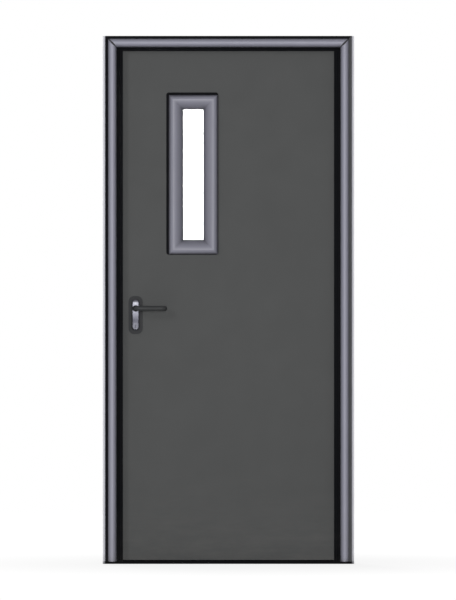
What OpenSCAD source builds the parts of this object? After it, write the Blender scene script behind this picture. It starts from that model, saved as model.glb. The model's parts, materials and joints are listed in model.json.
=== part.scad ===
// Hollow metal door in a pressed-steel frame. Millimetres, +Z up, the floor at Z = 0.
// X runs across the opening and Y through it: the push side, with the stops in front of the leaf, faces -Y.

/* [Frame] */
// Width over the two jamb faces, without the wall lips
frame_w = 980; // [900:1:1180]
// Height of the frame above the floor
frame_h = 2100; // [2000:1:2400]
// Depth of the frame, front face to rear face
frame_depth = 105; // [100:1:150]
// Thickness of the folded frame sheet
frame_sheet = 1.6; // [1.2:0.1:2]
// Inside radius of the frame's bends
frame_bend = 1.2; // [0.8:0.1:1.5]
// Width of the front faces
face_w = 43; // [40:1:55]
// Rise of the crowned front faces
face_crown = 12; // [4:0.5:12]
// Width of the rear faces, out to the rebate
rebate_w = 46.5; // [46:0.5:60]
// Height of the jamb stops above the rebate
jamb_stop = 20; // [20:0.5:26]
// Height of the head stop above the rebate
head_stop = 10; // [8:0.5:18]
// Depth of the stops, front to rear
stop_depth = 20; // [18:1:20]
// Width of the wall lip beside each jamb face
lip_w = 10; // [8:1:20]
// Step from the gasket seat back to the wall lip
lip_step = 6; // [6:0.5:8]
// Depth of the returns at the wall
wall_return = 15; // [10:1:20]
// Height of the sill
sill_h = 9; // [8:1:20]
// Depth of the flutes in the sill
flute_depth = 1; // [0.5:0.5:2]

/* [Seals] */
// Width of the gasket seat along the outer edge of the faces
gasket_w = 11; // [9:1:14]
// Depth of the gasket seat below the edge of the crown
gasket_seat = 4.5; // [4.5:0.5:6]
// Height of the wall gasket above its seat
gasket_rise = 5.5; // [4:0.5:7]
// Thickness of the stop seals
seal_t = 3; // [2:0.5:4]
// Gap between stop and leaf that the seal fills
seal_gap = 3.5; // [2.5:0.5:6]

/* [Leaf] */
// Thickness of the leaf
leaf_t = 46; // [44:1:54]
// Gap between leaf and rebate
leaf_gap = 3.5; // [3:0.5:5]
// Gap between leaf and sill
floor_gap = 5; // [4:0.5:12]
// Set-back of the leaf behind the frame's rear face
leaf_set_back = 0.5; // [0:0.5:2]
// Thickness of the leaf's skins
skin = 1.2; // [1:0.1:1.6]
// Width of the pan's rear lips
skin_lip = 12; // [10:1:20]
// Thickness of the channels and stiffeners
channel_sheet = 1.5; // [1.2:0.1:2]
// Depth of the top and bottom channels
channel_leg = 25; // [20:1:40]
// Width of a stiffener's flanges
stiffener_flange = 20; // [15:1:30]

/* [Vision panel] */
// Width of the clear glass
light_w = 81; // [60:1:200]
// Height of the clear glass
light_h = 520; // [300:1:800]
// Centre of the glass, across the door from its middle
light_x = -140; // [-150:1:-100]
// Distance of the glass's centre below the top of the frame
light_drop = 551; // [500:1:600]
// Thickness of the glass
glass_t = 6; // [5:1:8]
// Width of glass held behind the frame
glass_bite = 12; // [10:1:13]
// Width of the window frame's face
window_face = 57; // [50:1:60]
// Rise of the window frame above the skin
window_rise = 20; // [19.5:0.5:22]
// Sheet of the window frame
window_sheet = 1.2; // [1:0.1:1.5]
// Radius of the window frame's outer edge
window_edge_r = 15; // [10:0.5:15]
// Flat between the outer edge and the inward curve
window_flat = 2; // [1.8:0.1:4]
// Slope of the window frame at the glass, degrees
window_slope = 60; // [40:1:65]
// Mean width of the black gasket that shows around the window frame
window_gasket_w = 6; // [5:0.5:10]
// Shift of that gasket up and towards the lock
window_gasket_shift = 4; // [0:0.5:4]
// Thickness of that gasket
window_gasket_t = 2; // [1.5:0.5:3]
// Thickness of the glazing tape
tape_t = 2; // [1.5:0.5:3]

/* [Handle] */
// Height of the lever's axis above the floor
handle_z = 1016; // [980:1:1060]
// Distance of the lever's axis from the edge of the leaf
backset = 70; // [65:1:80]
// Distance from the lever's axis down to the key cylinder
cylinder_drop = 72; // [72:1:78]
// Width of the dark base plate
base_w = 56; // [46:1:60]
// Margin of the base plate above and below the cover plate
base_margin = 14; // [10:1:20]
// Thickness of the base plate
base_t = 4; // [3:0.5:6]
// Width of the light cover plate
cover_w = 29; // [28:0.5:36]
// Thickness of the cover plate
cover_t = 7; // [6:0.5:9]
// Chamfer around the cover plate
cover_chamfer = 3; // [1:0.5:3]
// Drop of the cover plate's rolled ends
cover_drop = 3.5; // [2:0.5:4]
// Radius of the roll at those ends
cover_roll_r = 30; // [20:1:40]
// Diameter of the lever's bar
lever_d = 20; // [16:0.5:20]
// Length of the lever from its axis to its tip
lever_len = 126; // [100:1:150]
// Distance of the lever's grip from the leaf
lever_reach = 52; // [45:1:60]
// Bend radius of the lever's bar
lever_bend = 14; // [12:1:18]
// Length of the return at the lever's tip
lever_return = 16; // [8:1:20]
// Width across the flats of the spindle
spindle_w = 9; // [8:0.5:10]

/* [Lock] */
// Thickness of the lock case
case_t = 14; // [13:0.5:15]
// Sheet of the lock case
case_sheet = 1.5; // [1:0.1:1.8]
// Thickness of the forend
forend_t = 3; // [2.5:0.5:4]
// Width of the forend
forend_w = 28; // [28:1:30]
// Throw of the latch bolt
latch_throw = 12; // [10:0.5:13]
// Throw of the dead bolt
dead_throw = 20; // [15:1:22]
// Height of the dead bolt
dead_h = 28; // [24:1:30]
// Height of the latch bolt
latch_h = 26; // [24:1:28]
// Diameter of the key cylinder
cylinder_d = 22; // [21:0.5:23]
// Diameter of the plug in it
plug_d = 13; // [12:0.5:14]

/* [Hinges] */
// Height of a hinge
hinge_h = 110; // [100:1:130]
// Thickness of the hinge wings
wing_t = 3; // [2.5:0.5:3.5]
// Width of the wings on the edge of the leaf
wing_w = 36; // [32:1:38]
// Diameter of the knuckles
knuckle_d = 13; // [12:0.5:14]
// Diameter of the hinge pins
pin_d = 8; // [6:0.5:9]
// Height of the bottom hinge's middle above the floor
low_hinge_z = 250; // [200:1:350]
// Distance of the top hinge's middle below the top of the leaf
top_hinge_drop = 200; // [180:1:300]

/* [Fixings] */
// Diameter of the wall fixing holes in the jambs
anchor_d = 10.5; // [8:0.5:11]
// Wall of the sleeves behind those holes
sleeve_wall = 1.75; // [1.5:0.25:2]
// Distance from the stop to the middle of the fixing holes
anchor_to_stop = 9; // [9:0.25:9.5]
// Distance of the outer fixing holes from the foot and the top of the frame
anchor_in = 200; // [150:1:300]
// Distance of the inner fixing holes from the foot and the top of the frame
anchor_mid_in = 750; // [600:1:800]
// Diameter of the sill's fixing holes
sill_hole_d = 6.5; // [5:0.5:8]
// Distance between the sill's fixing holes
sill_hole_span = 660; // [400:1:700]

/* [Hidden] */
$fn = 48;

// Clearances
run_gap = 0.3;
bore_gap = 0.05;
slip_gap = 0.1;
cone_gap = 0.15;
eps = 1;

// Frame, across the opening: depths d count inward from the outer edge of the faces
half_w = frame_w / 2;
jamb_stop_d = rebate_w + jamb_stop;
head_stop_d = rebate_w + head_stop;
// Frame, through the opening
y_front = -frame_depth / 2;
y_rear = frame_depth / 2;
y_crown = y_front + face_crown;
y_seat = y_crown + gasket_seat;
y_lip = y_seat + lip_step;
pull_rebate = leaf_t + seal_gap + leaf_set_back;
y_stop_rear = y_rear - pull_rebate;
y_stop_front = y_stop_rear - stop_depth;
// Corner fillet of a seal or gasket that lies in a bend
seal_clear = frame_bend + 0.1;

// Leaf
leaf_w = frame_w - 2 * (rebate_w + leaf_gap);
leaf_half = leaf_w / 2;
leaf_z0 = sill_h + floor_gap;
leaf_z1 = frame_h - rebate_w - leaf_gap;
leaf_h = leaf_z1 - leaf_z0;
y_leaf_rear = y_rear - leaf_set_back;
y_leaf_front = y_leaf_rear - leaf_t;
y_mid = (y_leaf_front + y_leaf_rear) / 2;
y_in_front = y_leaf_front + skin;
y_in_rear = y_leaf_rear - skin;
skin_bend = 1;
leaf_in = leaf_half - skin;

// Vision panel: w counts outward from the clear glass, h outward from the skin
light_z = frame_h - light_drop;
lining_gap = 10;
cut_margin = glass_bite + lining_gap;
window_peak = window_face - window_edge_r - window_flat;
window_curve_r = window_peak / sin(window_slope);
function window_height(w) = window_rise - window_curve_r
    + sqrt(window_curve_r ^ 2 - max(0, window_peak - w) ^ 2);
tape_depth = y_mid - glass_t / 2 - tape_t - y_leaf_front;
foot_w = glass_bite - 1;
lining_flange = 15;
lining_half = light_w / 2 + cut_margin + lining_flange;
window_screw_d = 4;
window_screw_w = glass_bite + lining_gap / 2;
window_screw_head_d = 8;
window_screw_head_h = 2.5;
window_boss_d = 8;
window_pad_d = 10;
window_pad_top = window_height(window_screw_w + window_pad_d / 2);
window_screws_a_side = 4;
window_screw_spacing = light_h / window_screws_a_side;

// Handle and lock: heights count from the lever's axis
axis_x = -leaf_half + backset;
cover_top = 35;
cover_bottom = -(cylinder_drop + cylinder_d / 2 + 5);
cover_h = cover_top - cover_bottom;
cover_mid = (cover_top + cover_bottom) / 2;
base_h = cover_h + 2 * base_margin;
base_r = 22;
neck_hole_d = lever_d + 2 * run_gap;
cylinder_hole_d = cylinder_d + 2 * run_gap;
bolt_d = 5;
bolt_head_d = 9;
bolt_up = 26;
bolt_down = -36;
case_x0 = -leaf_half + forend_t;
case_x1 = axis_x + 33;
case_top = 50;
case_bottom = -(cylinder_drop + 28);
y_case_front = y_mid - case_t / 2;
y_case_rear = y_mid + case_t / 2;
forend_top = 80;
forend_bottom = case_bottom - 30;
forend_screw_in = 9;
hub_d = 19;
hub_arm = 18;
hub_arm_d = 6;
tail_t = 3.5;
tail_h = 8;
latch_z = 16;
dead_z = -40;
bolt_side_gap = 0.5;
bolt_t = case_t - 2 * case_sheet - 2 * bolt_side_gap;
latch_head_len = 24;
dead_len = 54;
cam_r = 13;
cam_t = 8;
cam_slot = cam_t + 2;
cam_w = 7;
bridge = 4;
edge_plate_t = 4;

// Strike
strike_x = -half_w + rebate_w;
strike_w = 26;
strike_top = 55;
strike_bottom = dead_z - dead_h / 2 - 30;
strike_box_wall = 1.5;
strike_flange_t = 2.5;
strike_clear = 1;
strike_box_depth = max(latch_throw, dead_throw) + 6;
strike_screw_in = 10;

// Hinges
pin_x = leaf_half + leaf_gap / 2;
pin_y = y_rear + knuckle_d / 2 + run_gap;
knuckles = 5;
knuckle_h = hinge_h / knuckles;
hinge_zs = [leaf_z1 - top_hinge_drop, (leaf_z1 - top_hinge_drop + low_hinge_z) / 2, low_hinge_z];
wing_y0 = y_leaf_rear - wing_w;
hinge_plate_t = 5;
hinge_plate_margin = 14;
hinge_screw_d = 5;
hinge_screw_head_d = 8.6;
hinge_screw_len = wing_t + hinge_plate_t - 1;
hinge_screw_zs = [-0.36, -0.13, 0.13, 0.36];
hinge_screw_stagger = 5;

// Fixing holes
anchor_y = y_stop_front - anchor_to_stop;
anchor_zs = [anchor_in, anchor_mid_in, frame_h - anchor_mid_in, frame_h - anchor_in];
sill_hole_y = y_stop_front / 2;

// Colours
paint_light = [0.60, 0.60, 0.66];
paint_dark = [0.31, 0.32, 0.32];
black_rubber = [0.06, 0.06, 0.07];
black_metal = [0.16, 0.16, 0.17];
bare_steel = [0.72, 0.73, 0.74];
clear_glass = [0.85, 0.92, 0.90, 0.4];

// Sheet folded along a path of [x, y] or [x, y, inside radius] points, its thickness to the left of the path
bend_step = 22.5;
function flat(p) = [p[0], p[1]];
function unit(v) = v / norm(v);
function left_of(v) = [-v[1], v[0]];
function turned(v, a) = [v[0] * cos(a) - v[1] * sin(a), v[0] * sin(a) + v[1] * cos(a)];
function heading(p, i) = unit(flat(p[i + 1]) - flat(p[i]));
function bend(p, i, t, r, off) =
    let (a = heading(p, i - 1), b = heading(p, i), angle = atan2(cross(a, b), a * b), s = sign(angle))
    let (inside = len(p[i]) > 2 ? p[i][2] : r, face_r = s > 0 ? inside + t : inside)
    let (centre = flat(p[i]) - a * face_r * tan(abs(angle) / 2) + left_of(a) * s * face_r)
    let (steps = max(1, ceil(abs(angle) / bend_step)))
    [for (k = [0:steps]) let (n = turned(left_of(a), angle * k / steps)) centre + n * (off - s * face_r)];
function strip_side(p, t, r, off) = concat(
    [flat(p[0]) + left_of(heading(p, 0)) * off],
    [for (i = [1:len(p) - 2]) each bend(p, i, t, r, off)],
    [flat(p[len(p) - 1]) + left_of(heading(p, len(p) - 2)) * off]);
function backwards(list) = [for (i = [len(list) - 1:-1:0]) list[i]];
module folded(path, t, r) {
    polygon(concat(strip_side(path, t, r, 0), backwards(strip_side(path, t, r, t))));
}

// Helpers for placing shapes
module along_y(length, y0) {
    translate([0, y0 + length, 0]) rotate([90, 0, 0]) linear_extrude(length) children();
}
module across(y0, y1, d) {
    along_y(y1 - y0, y0) circle(d = d);
}
module box(x, y, z) {
    translate([x[0], y[0], z[0]]) cube([x[1] - x[0], y[1] - y[0], z[1] - z[0]]);
}
module rear_twin() {
    translate([0, 2 * y_mid, 0]) mirror([0, 1, 0]) children();
}
module at_lock() {
    translate([axis_x, 0, handle_z]) children();
}
module other_jamb() {
    mirror([1, 0, 0]) children();
}
module on_hinges() {
    for (z = hinge_zs) translate([0, 0, z]) children();
}
// Countersunk screw along +X with its head's face at X = 0
module screw_x(d, head_d, length) {
    rotate([0, 90, 0]) {
        cylinder(d = d, h = length);
        cylinder(d1 = head_d, d2 = d, h = (head_d - d) / 2);
    }
}

// Frame sections, as paths of [d, y]
crown_chord = face_w - gasket_w;
crown_r = (crown_chord ^ 2 / 4 + face_crown ^ 2) / (2 * face_crown);
crown_angle = asin(crown_chord / 2 / crown_r);
crown_steps = 16;
crown_path = [for (k = [0:crown_steps]) let (a = crown_angle * (2 * k / crown_steps - 1))
    [gasket_w + crown_chord / 2 + crown_r * sin(a), y_front + crown_r * (1 - cos(a))]];
function behind_face(stop_d) = [[face_w, y_stop_front], [stop_d, y_stop_front], [stop_d, y_stop_rear],
    [rebate_w, y_stop_rear], [rebate_w, y_rear], [0, y_rear], [0, y_rear - wall_return]];
seat_path = [[0, y_seat], [gasket_w, y_seat]];
jamb_path = concat([[-lip_w, y_lip], [0, y_lip]], seat_path, crown_path, behind_face(jamb_stop_d));
head_path = concat([[0, y_seat + wall_return]], seat_path, crown_path, behind_face(head_stop_d));

// Space above the mitre of the lock jamb, which the head fills
module above_mitre() {
    along_y(2 * frame_depth, -frame_depth)
        polygon([[-half_w, frame_h], [-half_w + head_stop_d, frame_h - head_stop_d],
            [-half_w + jamb_stop_d + eps, frame_h - head_stop_d], [-half_w + jamb_stop_d + eps, frame_h + eps],
            [-half_w, frame_h + eps]]);
}
// Space outside the mitre at the head's left end
module outside_mitre() {
    reach = head_stop_d + eps;
    along_y(2 * frame_depth, -frame_depth)
        polygon([[-half_w, frame_h], [-half_w + reach, frame_h - reach], [-half_w - eps, frame_h - reach],
            [-half_w - eps, frame_h]]);
}
module jamb_blank() {
    difference() {
        translate([-half_w, 0, sill_h]) linear_extrude(frame_h - sill_h) folded(jamb_path, frame_sheet, frame_bend);
        above_mitre();
        for (z = anchor_zs) translate([-half_w + face_w - 2 * frame_sheet, anchor_y, z])
            rotate([0, 90, 0]) cylinder(d = anchor_d, h = 4 * frame_sheet);
    }
}
module lock_jamb() {
    color(paint_light) difference() {
        jamb_blank();
        at_lock() box([strike_x - axis_x - 2 * frame_sheet, strike_x - axis_x + eps],
            [y_mid - strike_w / 2 - slip_gap, y_mid + strike_w / 2 + slip_gap],
            [strike_bottom - slip_gap, strike_top + slip_gap]);
    }
}
// Recess for a hinge wing, cut through the rear arris
module wing_recess(x0, x1) {
    on_hinges() box([x0, x1], [wing_y0 - slip_gap, y_rear + eps],
        [-hinge_h / 2 - slip_gap, hinge_h / 2 + slip_gap]);
}
frame_wing_x = pin_x + leaf_gap / 2;
module hinge_jamb() {
    color(paint_light) difference() {
        other_jamb() jamb_blank();
        wing_recess(frame_wing_x - eps, frame_wing_x + wing_t + slip_gap);
    }
}
module head() {
    color(paint_light) difference() {
        translate([-half_w, 0, frame_h]) rotate([0, 90, 0]) linear_extrude(frame_w)
            folded(head_path, frame_sheet, frame_bend);
        outside_mitre();
        other_jamb() outside_mitre();
    }
}
module sill() {
    flutes = 8;
    flute_pitch = frame_depth / (flutes + 1);
    flute_w = flute_pitch / 2;
    color(black_metal) difference() {
        box([-half_w - lip_w, half_w + lip_w], [y_front, y_rear], [0, sill_h]);
        for (i = [1:flutes]) box([-half_w + jamb_stop_d + 5, half_w - jamb_stop_d - 5],
            [y_front + i * flute_pitch - flute_w / 2, y_front + i * flute_pitch + flute_w / 2],
            [sill_h - flute_depth, sill_h + eps]);
        for (s = [-1, 1]) translate([s * sill_hole_span / 2, sill_hole_y, -eps])
            cylinder(d = sill_hole_d, h = sill_h + 2 * eps);
    }
}

// Wall gaskets: a strip with chamfered edges in the seat along the outer edge of the faces
gasket_chamfer = 1.5;
gasket_section = [[slip_gap, y_seat], [gasket_w - seal_clear, y_seat],
    [gasket_w - slip_gap, y_seat - seal_clear], [gasket_w - slip_gap, y_seat - gasket_rise + gasket_chamfer],
    [gasket_w - slip_gap - gasket_chamfer, y_seat - gasket_rise],
    [slip_gap + gasket_chamfer, y_seat - gasket_rise], [slip_gap, y_seat - gasket_rise + gasket_chamfer]];
module lock_wall_gasket() {
    color(black_rubber) difference() {
        translate([-half_w, 0, sill_h]) linear_extrude(frame_h - sill_h) polygon(gasket_section);
        above_mitre();
    }
}
module hinge_wall_gasket() {
    other_jamb() lock_wall_gasket();
}
module head_wall_gasket() {
    color(black_rubber) difference() {
        translate([-half_w, 0, frame_h]) rotate([0, 90, 0]) linear_extrude(frame_w) polygon(gasket_section);
        outside_mitre();
        other_jamb() outside_mitre();
    }
}

// Stop seals: a rubber channel that wraps the stop, its rear flange pressed by the leaf
seal_flange = 6.5;
function seal_section(stop_d) = [[face_w + seal_clear, y_stop_front], [face_w + seal_clear, y_stop_front - seal_t],
    [stop_d + seal_t, y_stop_front - seal_t], [stop_d + seal_t, y_leaf_front - run_gap],
    [stop_d - seal_flange, y_leaf_front - run_gap], [stop_d - seal_flange, y_stop_rear], [stop_d, y_stop_rear],
    [stop_d, y_stop_front]];
head_stop_z = frame_h - head_stop_d;
module lock_stop_seal() {
    color(black_rubber) translate([-half_w, 0, sill_h]) linear_extrude(head_stop_z - sill_h)
        polygon(seal_section(jamb_stop_d));
}
module hinge_stop_seal() {
    other_jamb() lock_stop_seal();
}
module head_stop_seal() {
    between = half_w - jamb_stop_d - seal_t;
    color(black_rubber) {
        translate([-between, 0, frame_h]) rotate([0, 90, 0]) linear_extrude(2 * between)
            polygon(seal_section(head_stop_d));
        box([-half_w + face_w + seal_clear, half_w - face_w - seal_clear],
            [y_stop_front - seal_t, y_stop_front], [head_stop_z, frame_h - face_w - seal_clear]);
    }
}

module anchor_sleeves() {
    sleeve_d = anchor_d + 2 * sleeve_wall;
    sleeve_x0 = 2 * frame_sheet;
    color(bare_steel) for (side = [0, 1], z = anchor_zs) mirror([side, 0, 0])
        translate([-half_w + sleeve_x0, anchor_y, z]) rotate([0, 90, 0]) difference() {
            cylinder(d = sleeve_d, h = face_w - frame_sheet - sleeve_x0);
            translate([0, 0, -eps]) cylinder(d = anchor_d, h = face_w + 2 * eps);
        }
}

// Strike: openings for the two bolts, in the plate and in the box behind it
module bolt_openings(x0, x1, clear) {
    for (b = [[latch_z, latch_h], [dead_z, dead_h]])
        box([x0, x1], [y_mid - bolt_t / 2 - clear, y_mid + bolt_t / 2 + clear],
            [b[0] - b[1] / 2 - clear, b[0] + b[1] / 2 + clear]);
}
strike_face = strike_x - axis_x;
strike_screw_zs = [strike_bottom + strike_screw_in, strike_top - strike_screw_in];
module strike_plate() {
    color(bare_steel) at_lock() difference() {
        box([strike_face - frame_sheet, strike_face], [y_mid - strike_w / 2, y_mid + strike_w / 2],
            [strike_bottom, strike_top]);
        bolt_openings(strike_face - 2 * frame_sheet, strike_face + eps, strike_clear);
        for (z = strike_screw_zs) translate([strike_face, y_mid, z]) mirror([1, 0, 0])
            screw_x(bolt_d + 2 * slip_gap, bolt_head_d - 1, 4 * frame_sheet);
    }
}
module strike_screws() {
    color(bare_steel) at_lock() for (z = strike_screw_zs)
        translate([strike_face - slip_gap, y_mid, z]) mirror([1, 0, 0])
            screw_x(bolt_d, bolt_head_d - 1 - 2 * cone_gap, frame_sheet + strike_flange_t);
}
module strike_box() {
    x_back = strike_face - frame_sheet;
    x_end = x_back - strike_box_depth;
    box_y = bolt_t / 2 + strike_clear + 1;
    top = latch_z + latch_h / 2 + strike_clear + 1;
    bottom = dead_z - dead_h / 2 - strike_clear - 1;
    color(bare_steel) at_lock() difference() {
        union() {
            box([x_back - strike_flange_t, x_back], [y_mid - strike_w / 2 - 4, y_mid + strike_w / 2 + 4],
                [strike_bottom - 4, strike_top + 4]);
            box([x_end - strike_box_wall, x_back], [y_mid - box_y - strike_box_wall, y_mid + box_y + strike_box_wall],
                [bottom - strike_box_wall, top + strike_box_wall]);
        }
        box([x_end, x_back - strike_flange_t], [y_mid - box_y, y_mid + box_y], [bottom, top]);
        bolt_openings(x_end, x_back + eps, strike_clear);
        for (z = strike_screw_zs) translate([x_back + eps, y_mid, z]) rotate([0, -90, 0])
            cylinder(d = bolt_d + 2 * bore_gap, h = strike_flange_t + 2 * eps);
    }
}

// Hinges: own knuckles at every second step, the frame's at the ends
module hinge_screw_places(x) {
    on_hinges() for (i = [0:len(hinge_screw_zs) - 1])
        translate([x, (wing_y0 + y_leaf_rear) / 2 + (i % 2 == 0 ? -hinge_screw_stagger : hinge_screw_stagger),
            hinge_screw_zs[i] * hinge_h]) children();
}
module hinge_wing(x0, y_end, first) {
    difference() {
        union() {
            box([x0, x0 + wing_t], [wing_y0, y_end], [-hinge_h / 2, hinge_h / 2]);
            for (k = [first:2:knuckles - 1]) translate([0, 0, k * knuckle_h - hinge_h / 2]) {
                z0 = k == 0 ? 0 : run_gap / 2;
                z1 = k == knuckles - 1 ? knuckle_h : knuckle_h - run_gap / 2;
                translate([pin_x, pin_y, z0]) cylinder(d = knuckle_d, h = z1 - z0);
                box([x0, x0 + wing_t], [y_end - eps, pin_y], [z0, z1]);
            }
        }
        translate([pin_x, pin_y, -hinge_h]) cylinder(d = pin_d + 2 * bore_gap, h = 2 * hinge_h);
    }
}
leaf_wing_x = leaf_half - wing_t;
module frame_hinge(i) {
    color(bare_steel) difference() {
        translate([0, 0, hinge_zs[i]]) hinge_wing(frame_wing_x, y_rear, 0);
        hinge_screw_places(frame_wing_x) screw_x(hinge_screw_d + 2 * slip_gap, hinge_screw_head_d, 3 * wing_t);
    }
}
module leaf_hinge(i) {
    color(bare_steel) difference() {
        translate([0, 0, hinge_zs[i]]) hinge_wing(leaf_wing_x, y_leaf_rear, 1);
        hinge_screw_places(leaf_half) mirror([1, 0, 0])
            screw_x(hinge_screw_d + 2 * slip_gap, hinge_screw_head_d, 3 * wing_t);
    }
}
module top_frame_hinge() { frame_hinge(0); }
module middle_frame_hinge() { frame_hinge(1); }
module bottom_frame_hinge() { frame_hinge(2); }
module top_leaf_hinge() { leaf_hinge(0); }
module middle_leaf_hinge() { leaf_hinge(1); }
module bottom_leaf_hinge() { leaf_hinge(2); }
module hinge_pins() {
    head_h = 4;
    color(bare_steel) on_hinges() translate([pin_x, pin_y, -hinge_h / 2]) {
        cylinder(d = pin_d, h = hinge_h);
        translate([0, 0, hinge_h]) cylinder(d1 = knuckle_d, d2 = knuckle_d - 3, h = head_h);
    }
}
module frame_hinge_screws() {
    color(bare_steel) hinge_screw_places(frame_wing_x + slip_gap)
        screw_x(hinge_screw_d, hinge_screw_head_d - 2 * cone_gap, hinge_screw_len);
}
module leaf_hinge_screws() {
    color(bare_steel) hinge_screw_places(leaf_half - slip_gap) mirror([1, 0, 0])
        screw_x(hinge_screw_d, hinge_screw_head_d - 2 * cone_gap, hinge_screw_len);
}
// Plate behind a hinge wing, with a pocket as deep as the wing stands behind the sheet
hinge_plate_y0 = wing_y0 - 6;
hinge_plate_half = hinge_h / 2 + hinge_plate_margin;
module hinge_plate_holes(x) {
    hinge_screw_places(x) rotate([0, 90, 0]) cylinder(d = hinge_screw_d + 2 * bore_gap, h = 2 * hinge_plate_t);
}
module jamb_hinge_plates() {
    x0 = frame_wing_x + frame_sheet;
    color(bare_steel) difference() {
        on_hinges() box([x0, x0 + hinge_plate_t], [hinge_plate_y0, y_rear - frame_sheet - frame_bend - 1],
            [-hinge_plate_half, hinge_plate_half]);
        wing_recess(x0 - eps, frame_wing_x + wing_t);
        hinge_plate_holes(x0);
    }
}
module leaf_hinge_plates() {
    x1 = leaf_in;
    color(bare_steel) difference() {
        on_hinges() box([x1 - hinge_plate_t, x1], [hinge_plate_y0, y_in_rear - skin - skin_bend - 1],
            [-hinge_plate_half, hinge_plate_half]);
        wing_recess(leaf_wing_x, x1 + eps);
        hinge_plate_holes(x1 - hinge_plate_t - eps);
    }
}

// Leaf
pan_path = [[-leaf_half + skin_lip, y_in_rear], [-leaf_half, y_in_rear], [-leaf_half, y_leaf_front],
    [leaf_half, y_leaf_front], [leaf_half, y_in_rear], [leaf_half - skin_lip, y_in_rear]];
module light_cut(margin, y0, y1) {
    box([light_x - light_w / 2 - margin, light_x + light_w / 2 + margin], [y0, y1],
        [light_z - light_h / 2 - margin, light_z + light_h / 2 + margin]);
}
module handle_holes(y0, y1) {
    at_lock() {
        across(y0, y1, hub_d + 1);
        translate([0, 0, -cylinder_drop]) across(y0, y1, cylinder_hole_d);
        for (z = [bolt_up, bolt_down]) translate([0, 0, z]) across(y0, y1, bolt_d + 2 * slip_gap);
    }
}
module front_skin() {
    color(paint_dark) difference() {
        translate([0, 0, leaf_z0]) linear_extrude(leaf_h) folded(pan_path, skin, skin_bend);
        light_cut(cut_margin, y_leaf_front - eps, y_in_front + eps);
        handle_holes(y_leaf_front - eps, y_in_front + eps);
        for (z = [leaf_z0 - eps, leaf_z1 - channel_leg - eps])
            box([-leaf_in, leaf_in], [y_in_front + eps, y_in_rear + eps], [z, z + channel_leg + 2 * eps]);
        at_lock() box([-backset - eps, -backset + 2 * skin], [y_mid - forend_w / 2 - slip_gap,
            y_mid + forend_w / 2 + slip_gap], [forend_bottom - slip_gap, forend_top + slip_gap]);
        wing_recess(leaf_wing_x - slip_gap, leaf_half + eps);
    }
}
module rear_skin() {
    color(paint_dark) difference() {
        box([-leaf_half, leaf_half], [y_in_rear, y_leaf_rear], [leaf_z0, leaf_z1]);
        light_cut(cut_margin, y_in_rear - eps, y_leaf_rear + eps);
        handle_holes(y_in_rear - eps, y_leaf_rear + eps);
        wing_recess(leaf_wing_x - slip_gap, leaf_half + eps);
    }
}
module edge_channel() {
    rotate([90, 0, 90]) linear_extrude(2 * (leaf_in - skin_bend), center = true)
        folded([[y_in_front, channel_leg], [y_in_front, 0], [y_in_rear, 0], [y_in_rear, channel_leg]],
            channel_sheet, skin_bend);
}
module bottom_channel() {
    color(paint_dark) translate([0, 0, leaf_z0]) edge_channel();
}
module top_channel() {
    color(paint_dark) translate([0, 0, leaf_z1]) mirror([0, 0, 1]) edge_channel();
}
module bottom_seal() {
    seal_w = 12;
    color(black_rubber) box([-leaf_in, leaf_in], [y_mid - seal_w / 2, y_mid + seal_w / 2],
        [sill_h + run_gap, leaf_z0]);
}
module stiffeners() {
    beside_window = 25;
    right_x = light_x + lining_half + beside_window;
    spread = (leaf_in - right_x) / 3;
    xs = [light_x - lining_half - beside_window - stiffener_flange, right_x, right_x + spread, right_x + 2 * spread];
    color(bare_steel) for (x = xs) translate([x, 0, leaf_z0 + channel_leg + 1])
        linear_extrude(leaf_h - 2 * (channel_leg + 1))
            folded([[stiffener_flange, y_in_rear], [0, y_in_rear], [0, y_in_front], [stiffener_flange, y_in_front]],
                channel_sheet, skin_bend);
}

// Rectangular ring with mitred corners around the clear glass: its section is drawn outward from the opening
module mitred_side(w, h, out) {
    intersection() {
        translate([w / 2, 0, 0]) rotate([90, 0, 0]) linear_extrude(h + 2 * out, center = true) children();
        linear_extrude(2 * leaf_t, center = true)
            polygon([[w / 2, -h / 2], [w / 2 + out, -h / 2 - out], [w / 2 + out, h / 2 + out], [w / 2, h / 2]]);
    }
}
module mitred_ring(w, h, out) {
    for (s = [0, 180]) {
        rotate(s) mitred_side(w, h, out) children();
        rotate(s + 90) mitred_side(h, w, out) children();
    }
}
module at_light() {
    translate([light_x, y_leaf_front, light_z]) rotate([90, 0, 0]) children();
}
module window_lining() {
    span = leaf_t - 2 * skin;
    m = cut_margin;
    color(bare_steel) at_light() translate([0, 0, -skin - span]) mitred_ring(light_w + 2 * m, light_h + 2 * m, 20)
        folded([[lining_flange, span], [0, span], [0, 0], [lining_flange, 0]], channel_sheet, skin_bend);
}
window_arc_steps = 10;
window_path = concat([[window_face, window_gasket_t], [window_face, window_rise, window_edge_r]],
    [for (k = [0:window_arc_steps]) let (w = window_peak - window_curve_r * sin(window_slope * k / window_arc_steps))
        [w, window_height(w)]],
    [[0, -tape_depth], [foot_w, -tape_depth]]);
module window_screw_places() {
    for (s = [-1, 1], i = [0:window_screws_a_side - 1])
        translate([s * (light_w / 2 + window_screw_w), (i - (window_screws_a_side - 1) / 2) * window_screw_spacing, 0])
            children();
}
module window_ring() {
    at_light() mitred_ring(light_w, light_h, window_face) folded(window_path, window_sheet, skin_bend);
}
module front_window_frame() {
    boss_top = window_height(window_screw_w - window_boss_d / 2) - window_sheet / 2;
    boss_len = 14;
    color(paint_light) {
        window_ring();
        at_light() window_screw_places() translate([0, 0, boss_top - boss_len]) difference() {
            cylinder(d = window_boss_d, h = boss_len);
            translate([0, 0, -eps]) cylinder(d = window_screw_d + 2 * bore_gap, h = boss_len - 2);
        }
    }
}
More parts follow.
